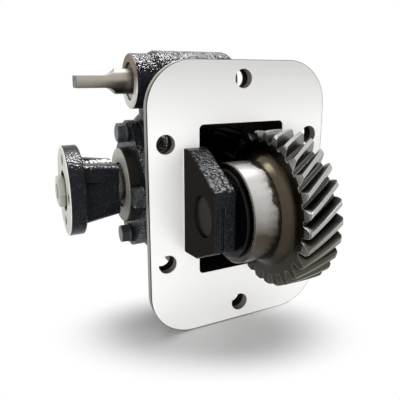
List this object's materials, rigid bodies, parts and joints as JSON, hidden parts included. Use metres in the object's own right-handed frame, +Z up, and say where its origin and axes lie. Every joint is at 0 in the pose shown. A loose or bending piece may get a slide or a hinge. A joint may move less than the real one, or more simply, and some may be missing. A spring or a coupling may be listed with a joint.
{
  "type": "power take off unit",
  "caption": "Side-mounted gearbox power take off: helical input gear in an open window, iron housing, output shaft with bolted flange, and a sliding shift rod.",
  "frame": {"origin": "middle of the six-hole bolt pattern, on the machined mounting face", "axes": "+X along the shafts from the output flange towards the blind end, +Y into the housing away from the gearbox, +Z up along the long side of the mounting flange"},
  "size_m": [0.1736, 0.1806, 0.1825],
  "materials": {
    "black_casting": "black enamel over a rough sand casting, its mounting face ground bare",
    "gear_steel": "case-hardened gear steel with an oil film",
    "turned_steel": "turned bare steel",
    "dark_steel": "dark oiled steel",
    "bearing_steel": "ground and polished",
    "black_bolts": "black oxide",
    "bronze": "machined bronze",
    "seal_rubber": "moulded nitrile rubber",
    "gasket": "oiled gasket paper"
  },
  "bodies": {
    "housing": {"housing": "black_casting", "idler_shaft": "dark_steel", "idler_lock_pin": "dark_steel", "idler_left_washer": "bronze", "idler_right_washer": "bronze", "bearing_cap": "turned_steel", "cap_gasket": "gasket", "output_seal": "seal_rubber", "cap_bolts": "black_bolts", "cap_spring_washers": "black_bolts", "end_cover": "black_casting", "cover_gasket": "gasket", "cover_bolts": "black_bolts", "cover_spring_washers": "black_bolts", "left_bearing_cup": "bearing_steel", "right_bearing_cup": "bearing_steel", "rod_seal": "seal_rubber", "detent_ball": "bearing_steel", "detent_spring": "bearing_steel", "detent_plug": "black_bolts"},
    "input_gear": {"input_gear": "gear_steel", "idler_bush": "bronze"},
    "output_gear": {"output_gear": "gear_steel", "output_gear_bush": "bronze"},
    "output_shaft": {"output_shaft": "turned_steel", "gear_left_washer": "turned_steel", "gear_right_washer": "turned_steel", "seal_sleeve": "turned_steel", "left_bearing_cone": "bearing_steel", "left_bearing_rollers": "bearing_steel", "right_bearing_cone": "bearing_steel", "right_bearing_rollers": "bearing_steel", "shaft_circlip": "dark_steel", "companion_flange": "turned_steel", "flange_washer": "turned_steel", "flange_nut": "turned_steel"},
    "clutch_sleeve": {"clutch_sleeve": "turned_steel"},
    "shift_rod": {"shift_rod": "turned_steel", "shift_fork": "dark_steel", "fork_pin": "dark_steel"}
  },
  "joints": [
    {"name": "input_spin", "type": "hinge", "parent": "housing", "child": "input_gear", "pos_m": [0, -0.0263, 0], "axis": [1, 0, 0], "continuous": true},
    {"name": "output_gear_spin", "type": "hinge", "parent": "housing", "child": "output_gear", "pos_m": [0, 0.05678, 0.002], "axis": [1, 0, 0], "continuous": true},
    {"name": "output_shaft_spin", "type": "hinge", "parent": "housing", "child": "output_shaft", "pos_m": [0, 0.05678, 0.002], "axis": [1, 0, 0], "continuous": true},
    {"name": "shift_rod_slide", "type": "slide", "parent": "housing", "child": "shift_rod", "axis": [-1, 0, 0], "range_m": [0, 0.009]},
    {"name": "clutch_sleeve_slide", "type": "slide", "parent": "output_shaft", "child": "clutch_sleeve", "axis": [-1, 0, 0], "range_m": [0, 0.009]}
  ],
  "couplings": [
    {"joint": "output_gear_spin", "follows": "input_spin", "ratio": -1.12},
    {"joint": "output_shaft_spin", "follows": "input_spin", "ratio": -1.12},
    {"joint": "clutch_sleeve_slide", "follows": "shift_rod_slide", "ratio": 1}
  ]
}
